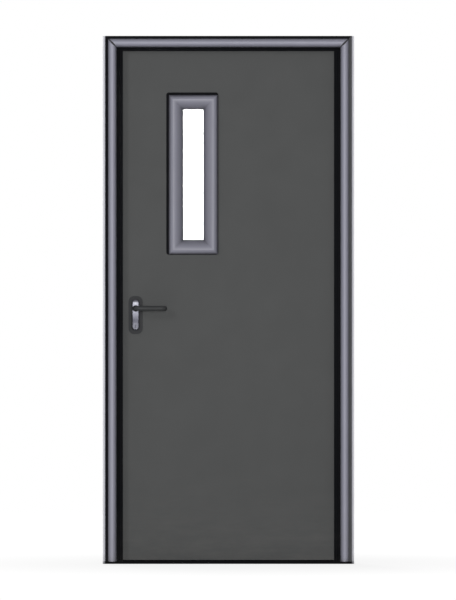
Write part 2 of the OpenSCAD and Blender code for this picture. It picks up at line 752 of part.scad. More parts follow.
module rear_window_frame() {
    pad_foot = window_height(window_screw_w - window_pad_d / 2) - window_sheet;
    color(paint_light) rear_twin() difference() {
        union() {
            window_ring();
            at_light() window_screw_places() translate([0, 0, pad_foot])
                cylinder(d = window_pad_d, h = window_pad_top - pad_foot);
        }
        at_light() window_screw_places() translate([0, 0, -eps])
            cylinder(d = window_screw_d + 2 * slip_gap, h = 2 * window_rise);
    }
}
module window_screws() {
    seat = window_pad_top;
    length = leaf_t + seat + window_height(window_screw_w - window_boss_d / 2) - window_sheet - 4;
    color(bare_steel) rear_twin() at_light() window_screw_places() {
        translate([0, 0, seat - length]) cylinder(d = window_screw_d, h = length);
        translate([0, 0, seat]) cylinder(d = window_screw_head_d, h = window_screw_head_h);
    }
}
// Slab with round corners, standing on Z = 0
module round_slab(w, h, t, r) {
    linear_extrude(t) {
        square([w - 2 * r, h], center = true);
        square([w, h - 2 * r], center = true);
        for (x = [-1, 1], y = [-1, 1]) translate([x * (w / 2 - r), y * (h / 2 - r)]) circle(r = r);
    }
}
module window_gasket() {
    out = window_face + window_gasket_w;
    corner_r = 10;
    color(black_rubber) at_light() difference() {
        translate([-window_gasket_shift, window_gasket_shift, 0])
            round_slab(light_w + 2 * out, light_h + 2 * out, window_gasket_t, corner_r);
        translate([0, 0, -eps]) linear_extrude(window_gasket_t + 2 * eps)
            square([light_w + 2 * cut_margin, light_h + 2 * cut_margin], center = true);
    }
}
module front_window_gasket() { window_gasket(); }
module rear_window_gasket() { rear_twin() window_gasket(); }
module glass_pane() {
    color(clear_glass) light_cut(glass_bite, y_mid - glass_t / 2, y_mid + glass_t / 2);
}
module glazing_tapes() {
    y0 = y_mid - glass_t / 2 - tape_t;
    module tape() {
        difference() {
            light_cut(foot_w, y0, y0 + tape_t);
            light_cut(0.5, y0 - eps, y0 + tape_t + eps);
        }
    }
    color(black_rubber) {
        tape();
        rear_twin() tape();
    }
}
module setting_blocks() {
    block_w = 20;
    z0 = light_z - light_h / 2 - cut_margin;
    color(black_rubber) for (s = [-1, 1])
        box([light_x + s * light_w / 4 - block_w / 2, light_x + s * light_w / 4 + block_w / 2],
            [y_mid - glass_t / 2 - 1, y_mid + glass_t / 2 + 1], [z0, z0 + lining_gap]);
}

// Lock, drawn from the lever's axis
module lock_holes(y0, y1) {
    across(y0, y1, hub_d + 2 * run_gap);
    translate([0, 0, -cylinder_drop]) across(y0, y1, cylinder_hole_d);
    for (z = [bolt_up, bolt_down]) translate([0, 0, z]) across(y0, y1, bolt_d + 2 * slip_gap);
}
case_back = case_x1 - axis_x;
case_front = case_x0 - axis_x;
module lock_case() {
    s = case_sheet;
    color(bare_steel) at_lock() difference() {
        box([case_front, case_back], [y_case_front + s, y_case_rear], [case_bottom, case_top]);
        box([case_front + s, case_back - s], [y_case_front, y_case_rear - s], [case_bottom + s, case_top - s]);
        lock_holes(y_case_rear - 2 * s, y_case_rear + eps);
        bolt_openings(case_front - eps, case_front + 2 * s, run_gap);
    }
}
module lock_cover() {
    color(bare_steel) at_lock() difference() {
        box([case_front, case_back], [y_case_front, y_case_front + case_sheet], [case_bottom, case_top]);
        lock_holes(y_case_front - eps, y_case_front + 2 * case_sheet);
    }
}
forend_screw_zs = [forend_bottom + forend_screw_in, forend_top - forend_screw_in];
cylinder_screw_d = 4;
cylinder_screw_head_d = 6.5;
cylinder_screw_wall = 1;
cylinder_screw_y = y_case_rear + cylinder_screw_d / 2 + cylinder_screw_wall;
cylinder_screw_len = backset - plug_d / 2 - cylinder_screw_wall;
module at_cylinder_screw() {
    translate([-backset, cylinder_screw_y, -cylinder_drop]) children();
}
module lock_forend() {
    color(bare_steel) at_lock() difference() {
        box([-backset, -backset + forend_t], [y_mid - forend_w / 2, y_mid + forend_w / 2], [forend_bottom, forend_top]);
        bolt_openings(-backset - eps, -backset + 2 * forend_t, run_gap);
        for (z = forend_screw_zs) translate([-backset, y_mid, z])
            screw_x(bolt_d + 2 * slip_gap, bolt_head_d, 2 * forend_t);
        at_cylinder_screw() screw_x(cylinder_screw_d + 2 * slip_gap, cylinder_screw_head_d, 2 * forend_t);
    }
}
module forend_screws() {
    color(bare_steel) at_lock() for (z = forend_screw_zs) translate([-backset + slip_gap, y_mid, z])
        screw_x(bolt_d, bolt_head_d - 2 * cone_gap, skin + edge_plate_t);
}
module lock_edge_plate() {
    plate_w = forend_w + 8;
    clear = slip_gap;
    color(bare_steel) at_lock() difference() {
        box([-backset + skin, -backset + skin + edge_plate_t], [y_mid - plate_w / 2, y_mid + plate_w / 2],
            [forend_bottom - 10, forend_top + 10]);
        box([-backset, -backset + forend_t], [y_mid - forend_w / 2 - clear, y_mid + forend_w / 2 + clear],
            [forend_bottom - clear, forend_top + clear]);
        box([-backset, -backset + 2 * edge_plate_t], [y_case_front - clear, y_case_rear + clear],
            [case_bottom - clear, case_top + clear]);
        for (z = forend_screw_zs) translate([-backset, y_mid, z]) rotate([0, 90, 0])
            cylinder(d = bolt_d + 2 * bore_gap, h = 3 * edge_plate_t);
        at_cylinder_screw() rotate([0, 90, 0]) cylinder(d = cylinder_screw_d + 2 * slip_gap, h = 3 * edge_plate_t);
    }
}
cylinder_half = leaf_t / 2 + base_t + cover_t + 1;
module cylinder_body() {
    color(bare_steel) at_lock() difference() {
        translate([0, 0, -cylinder_drop]) difference() {
            across(y_mid - cylinder_half, y_mid + cylinder_half, cylinder_d);
            across(y_mid - cylinder_half - eps, y_mid + cylinder_half + eps, plug_d + 2 * bore_gap);
            box([-cylinder_d, cylinder_d], [y_mid - cam_slot / 2, y_mid + cam_slot / 2],
                [-cylinder_d / 2 + bridge, cylinder_d]);
        }
        at_cylinder_screw() rotate([0, 90, 0])
            cylinder(d = cylinder_screw_d + 2 * bore_gap, h = cylinder_screw_len + run_gap);
    }
}
module cylinder_screw() {
    color(bare_steel) at_lock() at_cylinder_screw() translate([slip_gap, 0, 0])
        screw_x(cylinder_screw_d, cylinder_screw_head_d - 2 * cone_gap, cylinder_screw_len - slip_gap);
}
module cylinder_plug() {
    key_w = 1.6;
    key_h = 8;
    key_depth = 18;
    color(bare_steel) at_lock() translate([0, 0, -cylinder_drop]) difference() {
        union() {
            across(y_mid - cylinder_half, y_mid + cylinder_half, plug_d);
            box([0, cam_r], [y_mid - cam_t / 2, y_mid + cam_t / 2], [-cam_w / 2, cam_w / 2]);
        }
        for (y = [y_mid - cylinder_half - eps, y_mid + cylinder_half - key_depth])
            box([-key_w / 2, key_w / 2], [y, y + key_depth + eps], [-key_h / 2, key_h / 2]);
    }
}
bolt_y = [y_mid - bolt_t / 2, y_mid + bolt_t / 2];
arm_y = [bolt_y[0] + tail_t + 1, bolt_y[1]];
module latch_bolt() {
    tip = -backset - latch_throw;
    bevel = latch_throw - 2;
    lug_x = hub_arm_d / 2 + 1.5;
    lug_w = 5;
    color(bare_steel) at_lock() {
        translate([0, 0, latch_z - latch_h / 2]) linear_extrude(latch_h)
            polygon([[tip, bolt_y[1]], [tip, bolt_y[1] - 2], [tip + bevel, bolt_y[0]],
                [tip + latch_head_len, bolt_y[0]], [tip + latch_head_len, bolt_y[1]]]);
        box([tip + latch_head_len - eps, lug_x + lug_w], [bolt_y[0], bolt_y[0] + tail_t],
            [latch_z - tail_h / 2, latch_z + tail_h / 2]);
        box([lug_x, lug_x + lug_w], bolt_y, [latch_z - tail_h / 2, latch_z + tail_h / 2]);
    }
}
module dead_bolt() {
    flush = -backset + 0.5;
    color(bare_steel) at_lock() box([flush, flush + dead_len], bolt_y, [dead_z - dead_h / 2, dead_z + dead_h / 2]);
}
module square_bar(y0, y1, w) {
    box([-w / 2, w / 2], [y0, y1], [-w / 2, w / 2]);
}
module lock_follower() {
    color(bare_steel) at_lock() difference() {
        union() {
            across(y_case_front, y_case_rear, hub_d);
            box([-hub_arm_d / 2, hub_arm_d / 2], arm_y, [0, hub_arm]);
            translate([0, 0, hub_arm]) across(arm_y[0], arm_y[1], hub_arm_d);
        }
        square_bar(y_case_front - eps, y_case_rear + eps, spindle_w + 2 * slip_gap);
    }
}

// Handle set: the front half, and its twin behind the leaf
y_base = y_leaf_front - base_t;
y_cover = y_base - cover_t;
y_grip = y_leaf_front - lever_reach;
neck_y = y_base + base_t / 2;
socket_y = y_grip + lever_bend;
module plate_frame(y) {
    translate([axis_x, y, handle_z + cover_mid]) rotate([90, 0, 0]) children();
}
module base_plate() {
    color(black_metal) difference() {
        plate_frame(y_leaf_front) round_slab(base_w, base_h, base_t, base_r);
        at_lock() {
            across(y_base - eps, y_leaf_front + eps, neck_hole_d);
            translate([0, 0, -cylinder_drop]) across(y_base - eps, y_leaf_front + eps, cylinder_hole_d);
            for (z = [bolt_up, bolt_down]) translate([0, y_base, z]) rotate([0, 0, 90])
                screw_x(bolt_d + 2 * slip_gap, bolt_head_d, 2 * base_t);
        }
    }
}
// Plate with round ends and a chamfered rim, standing on Z = 0
module pill(w, h, t, chamfer) {
    r = w / 2;
    straight = h / 2 - r;
    for (s = [-1, 1]) translate([0, s * straight, 0]) {
        cylinder(r = r, h = t - chamfer);
        translate([0, 0, t - chamfer]) cylinder(r1 = r, r2 = r - chamfer, h = chamfer);
    }
    rotate([90, 0, 0]) linear_extrude(2 * straight, center = true)
        polygon([[-r, 0], [r, 0], [r, t - chamfer], [r - chamfer, t], [chamfer - r, t], [-r, t - chamfer]]);
}
// The same plate with its ends rolled down towards the base plate
module cover_blank() {
    roll_angle = acos(1 - cover_drop / cover_roll_r);
    flat_end = cover_h / 2 - cover_roll_r * sin(roll_angle);
    roll_steps = 8;
    roll = [for (k = [0:roll_steps]) let (a = roll_angle * k / roll_steps)
        [flat_end + cover_roll_r * sin(a), cover_t - cover_roll_r * (1 - cos(a))]];
    intersection() {
        pill(cover_w, cover_h, cover_t, cover_chamfer);
        rotate([90, 0, 90]) linear_extrude(cover_w + 2 * eps, center = true) polygon(concat(
            [[-cover_h / 2, -eps], [cover_h / 2, -eps]], backwards(roll), [for (p = roll) [-p[0], p[1]]]));
    }
}
module cover_plate() {
    color(paint_light) difference() {
        plate_frame(y_base) cover_blank();
        at_lock() {
            across(y_cover - eps, y_base + eps, neck_hole_d);
            translate([0, 0, -cylinder_drop]) across(y_cover - eps, y_base + eps, cylinder_hole_d);
        }
    }
}
module elbow() {
    rotate_extrude(angle = 90) translate([lever_bend, 0]) circle(d = lever_d);
}
module lever() {
    color(black_metal) at_lock() difference() {
        union() {
            across(socket_y, neck_y, lever_d);
            translate([lever_bend, socket_y, 0]) rotate(180) elbow();
            translate([lever_bend, y_grip, 0]) rotate([0, 90, 0])
                cylinder(d = lever_d, h = lever_len - lever_d / 2 - 2 * lever_bend);
            translate([lever_len - lever_d / 2 - lever_bend, socket_y, 0]) rotate(-90) elbow();
            translate([lever_len - lever_d / 2, 0, 0]) across(socket_y, socket_y + lever_return, lever_d);
        }
        square_bar(socket_y, neck_y + eps, spindle_w + 2 * slip_gap);
    }
}
// Ring on the cover plate that the lever's neck turns in
module lever_bush() {
    bush_rim = 2.5;
    bush_h = 2.5;
    at_lock() difference() {
        across(y_cover - bush_h, y_cover, neck_hole_d + 2 * bush_rim);
        across(y_cover - bush_h - eps, y_cover + eps, neck_hole_d);
    }
}
module lever_bushes() {
    color(black_metal) {
        lever_bush();
        rear_twin() lever_bush();
    }
}
module front_base_plate() { base_plate(); }
module rear_base_plate() { rear_twin() base_plate(); }
module front_cover_plate() { cover_plate(); }
module rear_cover_plate() { rear_twin() cover_plate(); }
module front_lever() { lever(); }
module rear_lever() { rear_twin() lever(); }
module spindle() {
    spindle_half = y_mid - socket_y - slip_gap;
    color(bare_steel) at_lock() square_bar(y_mid - spindle_half, y_mid + spindle_half, spindle_w);
}
module plate_bolts() {
    length = leaf_t + 2 * base_t;
    color(bare_steel) at_lock() for (z = [bolt_up, bolt_down]) translate([0, y_base + slip_gap, z])
        rotate([0, 0, 90]) screw_x(bolt_d, bolt_head_d - 2 * cone_gap, length - 2 * slip_gap);
}

sill();
lock_jamb();
hinge_jamb();
head();
lock_wall_gasket();
hinge_wall_gasket();
head_wall_gasket();
lock_stop_seal();
hinge_stop_seal();
head_stop_seal();
anchor_sleeves();
strike_plate();
strike_box();
strike_screws();
jamb_hinge_plates();
top_frame_hinge();
middle_frame_hinge();
bottom_frame_hinge();
hinge_pins();
frame_hinge_screws();
front_skin();
rear_skin();
top_channel();
bottom_channel();
stiffeners();
bottom_seal();
lock_edge_plate();
leaf_hinge_plates();
top_leaf_hinge();
middle_leaf_hinge();
bottom_leaf_hinge();
leaf_hinge_screws();
window_lining();
front_window_frame();
rear_window_frame();
front_window_gasket();
rear_window_gasket();
glass_pane();
glazing_tapes();
setting_blocks();
window_screws();
lock_case();
lock_cover();
lock_forend();
forend_screws();
cylinder_body();
cylinder_screw();
front_base_plate();
rear_base_plate();
front_cover_plate();
rear_cover_plate();
plate_bolts();
lever_bushes();
front_lever();
rear_lever();
spindle();
lock_follower();
latch_bolt();
dead_bolt();
cylinder_plug();
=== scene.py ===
# %% [markdown]
# A hollow steel door stands closed in its pressed-steel frame. The solids come ready made from
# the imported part, in metres, so this lesson only dresses them: it sets the stage, mixes the
# finishes, and adds the small things that the solids leave plain, such as sealant in the mitres,
# ribs on the seals and drive sockets in the screws.

# %% Load the solids
import json
import math

import bmesh
import bpy
from mathutils import Matrix, Vector


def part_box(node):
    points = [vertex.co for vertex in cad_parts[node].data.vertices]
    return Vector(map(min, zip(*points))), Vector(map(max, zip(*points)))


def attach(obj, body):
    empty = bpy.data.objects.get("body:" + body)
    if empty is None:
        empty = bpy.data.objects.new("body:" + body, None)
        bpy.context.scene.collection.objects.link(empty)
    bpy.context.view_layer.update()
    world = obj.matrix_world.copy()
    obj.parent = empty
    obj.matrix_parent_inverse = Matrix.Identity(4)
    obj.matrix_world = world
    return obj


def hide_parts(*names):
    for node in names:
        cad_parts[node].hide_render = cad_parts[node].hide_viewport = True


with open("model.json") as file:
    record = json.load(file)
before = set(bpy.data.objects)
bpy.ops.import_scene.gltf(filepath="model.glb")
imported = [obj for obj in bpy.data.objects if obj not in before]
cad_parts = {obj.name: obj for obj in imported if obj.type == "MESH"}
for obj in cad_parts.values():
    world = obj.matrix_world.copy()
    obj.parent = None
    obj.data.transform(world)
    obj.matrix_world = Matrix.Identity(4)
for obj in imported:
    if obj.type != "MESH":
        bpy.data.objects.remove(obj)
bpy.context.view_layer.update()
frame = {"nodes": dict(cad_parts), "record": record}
nodes = frame["nodes"]

# %% [markdown]
# The door is seen straight on from far away, as in an elevation drawing. A camera without any
# perspective would show no depth at all, so a long lens from thirty metres is used instead: the
# sides of the frame stay parallel, and only a trace of their depth shows. The lens follows from
# the height that the picture has to cover at the front of the frame.

# %% Camera
PICTURE_HEIGHT = 2.3856
CAMERA_DISTANCE = 30.0
CAMERA_X = -0.0018
CAMERA_DROP = 0.0006
SENSOR_MM = 36.0
scene = bpy.context.scene
front_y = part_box("lock_jamb")[0].y
middle_z = (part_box("sill")[0].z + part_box("head")[1].z) / 2
camera_data = bpy.data.cameras.new("front_view")
camera_data.sensor_width = SENSOR_MM
camera_data.lens = SENSOR_MM * CAMERA_DISTANCE / PICTURE_HEIGHT
camera = bpy.data.objects.new("front_view", camera_data)
camera.location = (CAMERA_X, front_y - CAMERA_DISTANCE, middle_z - CAMERA_DROP)
camera.rotation_euler = (math.pi / 2, 0, 0)
scene.collection.objects.link(camera)
scene.camera = camera
scene.view_settings.view_transform = "Standard"
print("lens:", round(camera_data.lens, 1), "mm")

# %% [markdown]
# Node trees could be wired by hand, but they are easier to read when each node is one call. One
# helper makes a node, sets its properties, and either writes a value into an input or links
# another node's output to it. The others are short words for the nodes that come up most often.

# %% Helpers for node trees
def put(tree, kind, inputs=None, **properties):
    node = tree.nodes.new(kind)
    for name, value in properties.items():
        setattr(node, name, value)
    for name, value in (inputs or {}).items():
        if isinstance(value, bpy.types.NodeSocket):
            tree.links.new(value, node.inputs[name])
        else:
            node.inputs[name].default_value = value
    return node


def maths(tree, operation, first, second=0.0, **properties):
    return put(tree, "ShaderNodeMath", {0: first, 1: second}, operation=operation,
               **properties).outputs[0]


def times(tree, first, second):
    return maths(tree, "MULTIPLY", first, second)


def vectors(tree, operation, first, second, output=0):
    return put(tree, "ShaderNodeVectorMath", {0: first, 1: second},
               operation=operation).outputs[output]


def length(tree, vector):
    return put(tree, "ShaderNodeVectorMath", {0: vector}, operation="LENGTH").outputs["Value"]


def scaled(tree, colour, gain):
    return put(tree, "ShaderNodeVectorMath", {0: colour, "Scale": gain},
               operation="SCALE").outputs[0]


def axis_of(tree, vector, axis):
    return put(tree, "ShaderNodeSeparateXYZ", {0: vector}).outputs[axis]


def object_place(tree):
    return put(tree, "ShaderNodeTexCoord").outputs["Object"]


def step_up(tree, value, low, high, to_low=0.0, to_high=1.0, **properties):
    return put(tree, "ShaderNodeMapRange",
               {"Value": value, "From Min": low, "From Max": high,
                "To Min": to_low, "To Max": to_high}, **properties).outputs["Result"]


def linear(red, green, blue):
    """A colour as a paint chart gives it, 0 to 255, in the linear values that shaders use."""
    def channel(level):
        level /= 255
        return level / 12.92 if level <= 0.04045 else ((level + 0.055) / 1.055) ** 2.4
    return (channel(red), channel(green), channel(blue), 1.0)


print("mid grey 128 in linear light:", round(linear(128, 128, 128)[0], 3))

# %% [markdown]
# The studio is a white room without walls. White planes around the door would throw too much
# light on it. Instead, what the camera, a reflection or the glass sees of the sky is plain white,
# while the light that falls on the object from it is weaker, so that the paint keeps its colour.

# %% White room
WHITE = (1.0, 1.0, 1.0, 1.0)
SKY_LIGHT = 0.16


def seen_directly(tree):
    """1 where the camera, a reflection or the glass looks, and 0 for light on its way to the door."""
    path = put(tree, "ShaderNodeLightPath").outputs
    either = maths(tree, "MAXIMUM", path["Is Camera Ray"], path["Is Glossy Ray"])
    return maths(tree, "MAXIMUM", either, path["Is Transmission Ray"])


world = bpy.data.worlds.new("white_room")
world.use_nodes = True
sky = world.node_tree
sky.nodes.clear()
light = put(sky, "ShaderNodeBackground", {"Color": WHITE, "Strength": SKY_LIGHT})
white = put(sky, "ShaderNodeBackground", {"Color": WHITE, "Strength": 1.0})
sky_mix = put(sky, "ShaderNodeMixShader",
              {0: seen_directly(sky), 1: light.outputs[0], 2: white.outputs[0]})
put(sky, "ShaderNodeOutputWorld", {"Surface": sky_mix.outputs[0]})
scene.world = world
print("sky light:", SKY_LIGHT)

# %% [markdown]
# The floor glows white as the room does, but near the door it also takes a share of real light,
# and so it keeps the shadow under the sill. A plain lit floor would show a grey edge against the
# room. Here that share fades further out, and the floor runs into the white without an edge.

# %% Floor
FLOOR_SIZE = 14.0
FLOOR_DROP = 0.0005
FLOOR_COLOUR = (0.85, 0.85, 0.85, 1.0)
FLOOR_GLOW = 1.03
FLOOR_SHOWN = 0.82
FLOOR_FADE = (0.5, 1.6)
floor_paint = bpy.data.materials.new("studio_floor")
floor_paint.use_nodes = True
tree = floor_paint.node_tree
tree.nodes.clear()
lit = put(tree, "ShaderNodeBsdfDiffuse", {"Color": FLOOR_COLOUR})
glow = put(tree, "ShaderNodeEmission", {"Color": WHITE, "Strength": FLOOR_GLOW})
fade = step_up(tree, length(tree, object_place(tree)), *FLOOR_FADE, FLOOR_SHOWN, 1.0)
share = times(tree, seen_directly(tree), fade)
floor_mix = put(tree, "ShaderNodeMixShader", {0: share, 1: lit.outputs[0], 2: glow.outputs[0]})
put(tree, "ShaderNodeOutputMaterial", {"Surface": floor_mix.outputs[0]})
half = FLOOR_SIZE / 2
floor_corners = [(-half, -half, 0), (half, -half, 0), (half, half, 0), (-half, half, 0)]
floor_mesh = bpy.data.meshes.new("studio_floor")
floor_mesh.from_pydata(floor_corners, [], [(0, 1, 2, 3)])
floor_mesh.materials.append(floor_paint)
floor = bpy.data.objects.new("studio_floor", floor_mesh)
floor.location.z = -FLOOR_DROP
scene.collection.objects.link(floor)
print("floor:", FLOOR_SIZE, "m square")

# %% [markdown]
# The main lamp is large and stands in front, a little above the eye: it shades the crowned faces
# evenly to both sides and leaves hardly a shadow on the recessed leaf. A weaker one high on the
# left gives raised parts a short soft shadow to the right, and a third keeps the pull side
# readable. Small lamps would do the same, but with hard edges to every shadow.

# %% Lamps
LAMPS = {
    "front_lamp": {"place": (0.0, -9.5, 1.5), "aim": (0, 0, 1.05), "size": 2.6, "watts": 490},
    "left_lamp": {"place": (-4.6, -5.2, 4.0), "aim": (0, 0, 1.1), "size": 1.6, "watts": 95},
    "back_lamp": {"place": (-2.0, 6.5, 3.6), "aim": (0, 0, 1.1), "size": 2.4, "watts": 300},
}


def soft_lamp(name, place, aim, size, watts):
    lamp = bpy.data.lights.new(name, "AREA")
    lamp.shape = "DISK"
    lamp.size = size
    lamp.energy = watts
    stand = bpy.data.objects.new(name, lamp)
    stand.location = place
    stand.rotation_euler = (Vector(aim) - Vector(place)).to_track_quat("-Z", "Y").to_euler()
    scene.collection.objects.link(stand)


for name, lamp_values in LAMPS.items():
    soft_lamp(name, **lamp_values)
print("lamps:", list(LAMPS))

# %% [markdown]
# Paint, rubber and metal share a few surface effects. They could be wired anew in every material,
# but as node groups each is built once, and every material then places the groups it needs, with
# its own values. The next cells make them one by one: cloudy tone, the skin of sprayed paint,
# worn edges, scuffs near the floor, painted shade in corners, painted shade on slanted flanks, a
# paler rim at the wall, painted highlight spots on the cover plate, and drawn lines for brushed
# metal.

# %% Helpers for effects
def effect(name, inputs, outputs):
    """An empty group with named sockets, with what it is given and what is taken from it."""
    group = bpy.data.node_groups.new(name, "ShaderNodeTree")
    kinds = {"colour": "NodeSocketColor", "value": "NodeSocketFloat",
             "vector": "NodeSocketVector"}
    for label, kind in inputs.items():
        group.interface.new_socket(label, in_out="INPUT", socket_type=kinds[kind])
    for label, kind in outputs.items():
        group.interface.new_socket(label, in_out="OUTPUT", socket_type=kinds[kind])
    given = group.nodes.new("NodeGroupInput").outputs
    taken = group.nodes.new("NodeGroupOutput").inputs
    return group, given, taken


def clouds(group, place, scale, detail, roughness=0.5):
    return put(group, "ShaderNodeTexNoise",
               {"Vector": place, "Scale": scale, "Detail": detail,
                "Roughness": roughness}).outputs["Fac"]


def sway(group, cloud, amount, middle, **properties):
    """A value that sways about its middle as far as the clouds leave their own."""
    off = maths(group, "SUBTRACT", cloud, 0.5)
    return maths(group, "ADD", times(group, off, amount), middle, **properties)


print("socket helpers ready")

# %% [markdown]
# No coat has one even tone: it dried in patches and was wiped in others. A painted picture would
# need unwrapped surfaces, so soft noise in the object's own space makes the colour drift instead.

# %% Mottling
mottling, given, taken = effect(
    "mottling", {"Colour": "colour", "Scale": "value", "Amount": "value"}, {"Colour": "colour"})
drift_clouds = clouds(mottling, object_place(mottling), given["Scale"], 5.0, 0.6)
gain = sway(mottling, drift_clouds, given["Amount"], 1.0)
mottling.links.new(scaled(mottling, given["Colour"], gain), taken["Colour"])
print("effect:", mottling.name)

# %% [markdown]
# A sprayed coat has a fine waviness, like the peel of an orange, and a gloss that is not quite
# even. Real displacement would need far too many faces, so fine noise goes to a bump, and larger
# patches of noise to the roughness.

# %% Paint skin
PATCH_SCALE = 9.0
paint_skin, given, taken = effect(
    "paint_skin", {"Grain": "value", "Gloss": "value", "Spread": "value"},
    {"Height": "value", "Roughness": "value"})
place = object_place(paint_skin)
peel = clouds(paint_skin, place, given["Grain"], 2.0)
paint_skin.links.new(peel, taken["Height"])
patches = clouds(paint_skin, place, PATCH_SCALE, 6.0, 0.65)
uneven = sway(paint_skin, patches, given["Spread"], given["Gloss"], use_clamp=True)
paint_skin.links.new(uneven, taken["Roughness"])
print("effect:", paint_skin.name)

# %% [markdown]
# Hands, keys and trolleys rub the paint thin along the edges. The edges could be marked by hand,
# but the shader finds them itself: where a rounded copy of the surface turns away from the real
# one there is an edge, and noise breaks the worn line into nicks.

# %% Edge wear
EDGE_TURN = (0.995, 0.86)
NICK_SCALE = 60.0
NICK_LEVELS = (0.42, 0.62)
edge_wear, given, taken = effect(
    "edge_wear", {"Width": "value", "Amount": "value"}, {"Mask": "value"})
rounded = put(edge_wear, "ShaderNodeBevel", {"Radius": given["Width"]}, samples=4).outputs[0]
surface = put(edge_wear, "ShaderNodeNewGeometry").outputs["Normal"]
turn = vectors(edge_wear, "DOT_PRODUCT", rounded, surface, "Value")
edge = step_up(edge_wear, turn, *EDGE_TURN)
nicks = clouds(edge_wear, object_place(edge_wear), NICK_SCALE, 4.0, 0.7)
broken = step_up(edge_wear, nicks, *NICK_LEVELS)
worn_edge = times(edge_wear, times(edge_wear, edge, broken), given["Amount"])
edge_wear.links.new(worn_edge, taken["Mask"])
print("effect:", edge_wear.name)

# %% [markdown]
# Dust and shoe marks gather low on a door and fade out upwards. The height above the floor gives
# the fade, and noise that is stretched sideways gives the marks, as feet and brooms pass by.

# %% Floor scuffs
SCUFF_FALL = 2.2
SCUFF_STRETCH = (6.0, 6.0, 26.0)
SCUFF_LEVELS = (0.38, 0.72)
floor_scuffs, given, taken = effect(
    "floor_scuffs", {"Height": "value", "Amount": "value"}, {"Mask": "value"})
place = object_place(floor_scuffs)
low = step_up(floor_scuffs, axis_of(floor_scuffs, place, "Z"), 0.0, given["Height"], 1.0, 0.0)
fading = maths(floor_scuffs, "POWER", low, SCUFF_FALL)
flattened = vectors(floor_scuffs, "MULTIPLY", place, SCUFF_STRETCH)
marks = clouds(floor_scuffs, flattened, 1.0, 7.0, 0.68)
scuffed = step_up(floor_scuffs, marks, *SCUFF_LEVELS)
scuff_mask = times(floor_scuffs, times(floor_scuffs, fading, scuffed), given["Amount"])
floor_scuffs.links.new(scuff_mask, taken["Mask"])
print("effect:", floor_scuffs.name)

# %% [markdown]
# Painted shade: the colour is darkened where a surface looks into a corner, where shade falls.
# How much of its surroundings a point can see tells how far it is shut in, so no mask has to be
# drawn.

# %% Painted corner shade
SHUT_IN = (1.0, 0.45)
corner_shade, given, taken = effect(
    "corner_shade", {"Reach": "value", "Amount": "value"}, {"Mask": "value"})
around = put(corner_shade, "ShaderNodeAmbientOcclusion", {"Distance": given["Reach"]}, samples=8)
shut_in = step_up(corner_shade, around.outputs["AO"], *SHUT_IN)
corner_shade.links.new(times(corner_shade, shut_in, given["Amount"]), taken["Mask"])
print("effect:", corner_shade.name)

# %% [markdown]
# Painted shade on slanted flanks: where a surface turns away from the front, its colour is darkened
# as light falling from the front would darken it. The surface's own direction gives the mask: none
# where it faces the front or the side squarely, most halfway between.

# %% Painted flank shade
FULL_AT_HALF = 4.0
flank_shade, given, taken = effect("flank_shade", {"Amount": "value"}, {"Mask": "value"})
outward = put(flank_shade, "ShaderNodeTexCoord").outputs["Normal"]
square = maths(flank_shade, "ABSOLUTE", axis_of(flank_shade, outward, "Y"))
short = maths(flank_shade, "SUBTRACT", 1.0, square)
slanted = times(flank_shade, times(flank_shade, square, short), FULL_AT_HALF)
flank_shade.links.new(times(flank_shade, slanted, given["Amount"]), taken["Mask"])
print("effect:", flank_shade.name)

# %% [markdown]
# The lips of the jambs lie against the wall, and their colour is made paler there. How far a
# point lies from the middle of the door gives the mask.

# %% Wall rim
wall_rim, given, taken = effect("wall_rim", {"From": "value", "To": "value"}, {"Mask": "value"})
sideways = maths(wall_rim, "ABSOLUTE", axis_of(wall_rim, object_place(wall_rim), "X"))
wall_rim.links.new(step_up(wall_rim, sideways, given["From"], given["To"]), taken["Mask"])
print("effect:", wall_rim.name)

# %% [markdown]
# Around the lever, just above it and around the keyhole, the plate's colour is made brighter: a
# painted highlight and painted reflection. The mask is a soft round spot about an axis through the
# leaf, so that both sides of the door have it in the same place.

# %% Painted highlight spots
IN_PLANE = (1.0, 0.0, 1.0)
sheen_spot, given, taken = effect(
    "sheen_spot", {"Middle": "vector", "Reach": "value"}, {"Mask": "value"})
offset = vectors(sheen_spot, "SUBTRACT", object_place(sheen_spot), given["Middle"])
away = length(sheen_spot, vectors(sheen_spot, "MULTIPLY", offset, IN_PLANE))
near = step_up(sheen_spot, away, 0.0, given["Reach"], 1.0, 0.0,
               interpolation_type="SMOOTHSTEP")
sheen_spot.links.new(near, taken["Mask"])
print("effect:", sheen_spot.name)

# %% [markdown]
# A brush or a drawing die leaves fine lines in metal. Noise that is pulled out long in one
# direction gives them, for the tone and for the bump alike.

# %% Drawn lines
drawn_lines, given, taken = effect(
    "drawn_lines", {"Stretch": "vector", "Contrast": "value"},
    {"Tone": "value", "Height": "value"})
pulled = vectors(drawn_lines, "MULTIPLY", object_place(drawn_lines), given["Stretch"])
lines = clouds(drawn_lines, pulled, 1.0, 5.0, 0.7)
drawn_lines.links.new(lines, taken["Height"])
drawn_lines.links.new(sway(drawn_lines, lines, given["Contrast"], 1.0), taken["Tone"])
print("effect:", drawn_lines.name)

# %% [markdown]
# Every finish starts from one shader and lays its effects over each other as a painter lays
# coats. These helpers make the empty material, place an effect in it, lay one colour over another
# through a mask, and turn a height into fine relief.

# %% Helpers for materials
def blank(name):
    material = bpy.data.materials.new(name)
    material.use_nodes = True
    tree = material.node_tree
    tree.nodes.clear()
    shader = put(tree, "ShaderNodeBsdfPrincipled")
    put(tree, "ShaderNodeOutputMaterial", {"Surface": shader.outputs[0]})
    return material, tree, shader


def placed_effect(tree, group, **values):
    return put(tree, "ShaderNodeGroup", values, node_tree=group).outputs


def over(tree, mask, under, upper):
    return put(tree, "ShaderNodeMix", {0: mask, 6: under, 7: upper},
               data_type="RGBA").outputs[2]


